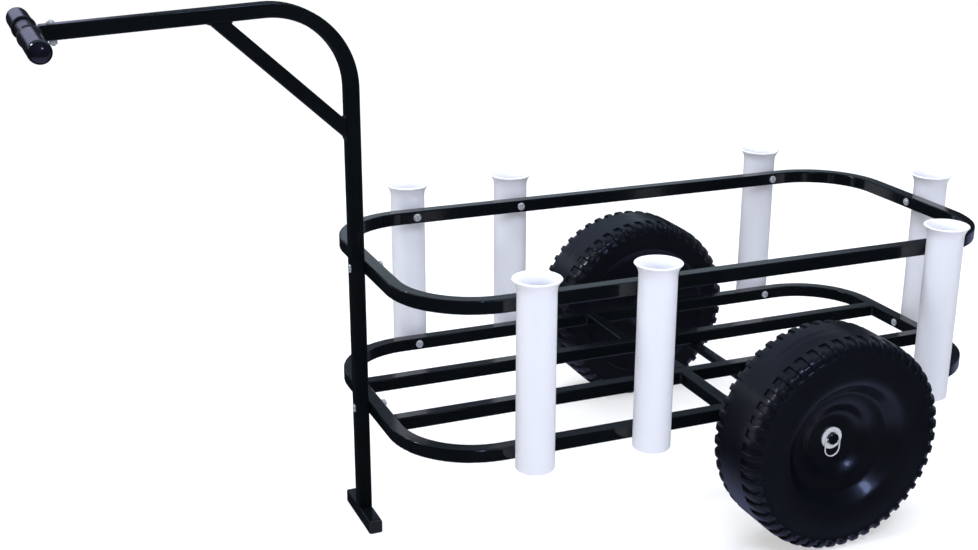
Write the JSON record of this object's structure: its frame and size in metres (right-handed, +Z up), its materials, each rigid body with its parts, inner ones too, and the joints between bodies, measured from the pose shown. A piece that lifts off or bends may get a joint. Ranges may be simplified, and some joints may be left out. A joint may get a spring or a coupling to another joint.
{
  "type": "beach cart",
  "caption": "Four-sided pull cart of bent square tube with a deck, upright flared rod holders, two wide lugged wheels, a foot bar and a long T handle.",
  "frame": {"origin": "centre of the underside of the foot bar at the handle end", "axes": "+X from the handle end to the far end, +Y across the cart to the side away from the near wheel, +Z up"},
  "size_m": [1.6299, 0.812, 0.8626],
  "materials": {
    "frame_paint": "gloss",
    "bar_paint": "gloss",
    "axle_paint": "satin",
    "holder_white": "satin",
    "wheel_plastic": "satin",
    "grip_vinyl": "gloss",
    "plug_plastic": "matte",
    "bush_nylon": "satin",
    "zinc": "bright zinc plate",
    "ring_wire": "bright"
  },
  "bodies": {
    "frame": {"upper_rail": "frame_paint", "upper_rail_sleeve": "frame_paint", "lower_rail": "frame_paint", "lower_rail_sleeve": "frame_paint", "slat_far": "frame_paint", "slat_near": "frame_paint", "cross_near": "frame_paint", "cross_middle": "frame_paint", "cross_far": "frame_paint", "handle_post": "frame_paint", "handle_brace": "frame_paint", "foot_bar": "frame_paint", "foot_plugs": "plug_plastic", "weld_beads": "frame_paint", "t_bar": "bar_paint", "grip_near": "grip_vinyl", "grip_far": "grip_vinyl", "handle_bolt": "zinc", "handle_bolt_nut": "zinc", "post_bolts": "zinc", "post_bolt_nuts": "zinc", "axle": "axle_paint", "axle_bracket_near": "frame_paint", "axle_bracket_far": "frame_paint", "axle_spacer_near": "frame_paint", "axle_spacer_far": "frame_paint", "axle_washers": "zinc", "rod_holder_near_1": "holder_white", "rod_holder_near_2": "holder_white", "rod_holder_near_3": "holder_white", "rod_holder_far_1": "holder_white", "rod_holder_far_2": "holder_white", "rod_holder_far_3": "holder_white", "rod_holder_end": "holder_white", "holder_screws": "zinc", "holder_nuts": "zinc"},
    "near_wheel": {"wheel_near": "wheel_plastic", "hub_bush_near": "bush_nylon"},
    "far_wheel": {"wheel_far": "wheel_plastic", "hub_bush_far": "bush_nylon"},
    "near_ring": {"axle_ring_near": "ring_wire"},
    "far_ring": {"axle_ring_far": "ring_wire"}
  },
  "joints": [
    {"name": "near_wheel_spin", "type": "hinge", "parent": "frame", "child": "near_wheel", "pos_m": [0.676, -0.344, 0.18018], "axis": [0, 1, 0], "continuous": true},
    {"name": "far_wheel_spin", "type": "hinge", "parent": "frame", "child": "far_wheel", "pos_m": [0.676, 0.344, 0.18018], "axis": [0, 1, 0], "continuous": true},
    {"name": "near_ring_swing", "type": "hinge", "parent": "frame", "child": "near_ring", "pos_m": [0.676, -0.3632, 0.18018], "axis": [-1, 0, 0], "range_deg": [-3, 150]},
    {"name": "far_ring_swing", "type": "hinge", "parent": "frame", "child": "far_ring", "pos_m": [0.676, 0.3632, 0.18018], "axis": [1, 0, 0], "range_deg": [-3, 150]}
  ]
}
